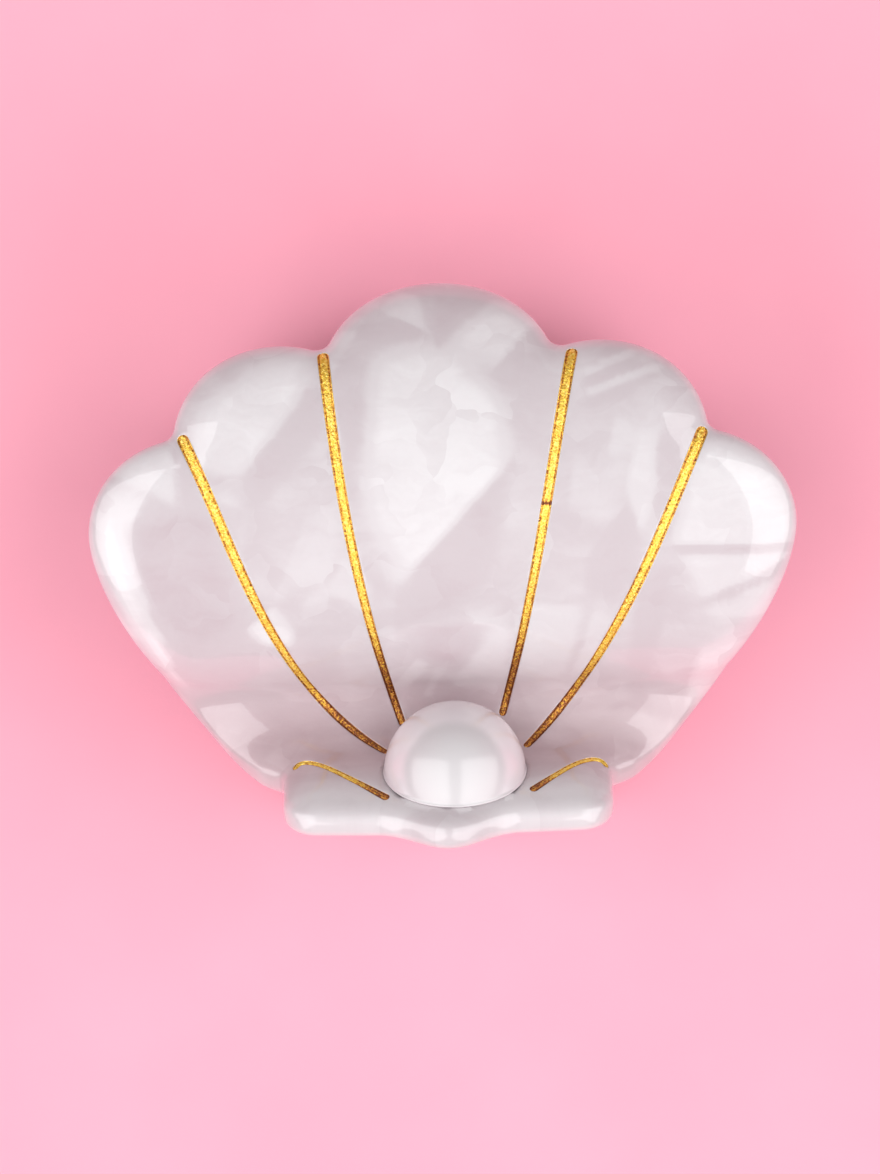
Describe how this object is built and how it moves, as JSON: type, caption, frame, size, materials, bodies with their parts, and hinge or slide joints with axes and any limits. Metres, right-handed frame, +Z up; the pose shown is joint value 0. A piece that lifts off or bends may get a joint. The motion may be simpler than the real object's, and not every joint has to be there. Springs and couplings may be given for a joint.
{
  "type": "claw clip",
  "caption": "Scallop-shell claw hair clip: two bowed acetate jaws with half pearls and gold filled lines, interlocking teeth and a spring hinge.",
  "frame": {"origin": "on the table under the middle of the clip, which lies on its back jaw", "axes": "+Z up through both jaws, +Y from the finger tabs to the fan's edge, +X to the right along the hinge pin"},
  "size_m": [0.0594, 0.0474, 0.0365],
  "materials": {
    "acetate": "polished, pearly white marbled acetate",
    "pearl": "glossy pearl lacquer",
    "gold_glitter": "gold glitter set in clear resin",
    "spring_steel": "bright drawn wire"
  },
  "bodies": {
    "back_jaw": {"back_shell": "acetate", "back_pearl": "pearl", "back_comb": "acetate", "back_hinge_lug_left": "acetate", "back_hinge_lug_right": "acetate", "back_gold_line_ear_left": "gold_glitter", "back_gold_line_ear_right": "gold_glitter", "back_gold_line_inner_left": "gold_glitter", "back_gold_line_inner_right": "gold_glitter", "back_gold_line_outer_left": "gold_glitter", "back_gold_line_outer_right": "gold_glitter", "hinge_pin": "spring_steel", "torsion_spring": "spring_steel"},
    "front_jaw": {"front_shell": "acetate", "front_pearl": "pearl", "front_comb": "acetate", "front_hinge_lug_left": "acetate", "front_hinge_lug_right": "acetate", "front_gold_line_ear_left": "gold_glitter", "front_gold_line_ear_right": "gold_glitter", "front_gold_line_inner_left": "gold_glitter", "front_gold_line_inner_right": "gold_glitter", "front_gold_line_outer_left": "gold_glitter", "front_gold_line_outer_right": "gold_glitter"}
  },
  "joints": [
    {"name": "jaw_hinge", "type": "hinge", "parent": "back_jaw", "child": "front_jaw", "pos_m": [0, -0.01288, 0.01824], "axis": [1, 0, 0], "range_deg": [0, 92], "stiffness_Nm_per_rad": 0.08, "springref_deg": -34.38, "deforming": ["torsion_spring"]}
  ]
}
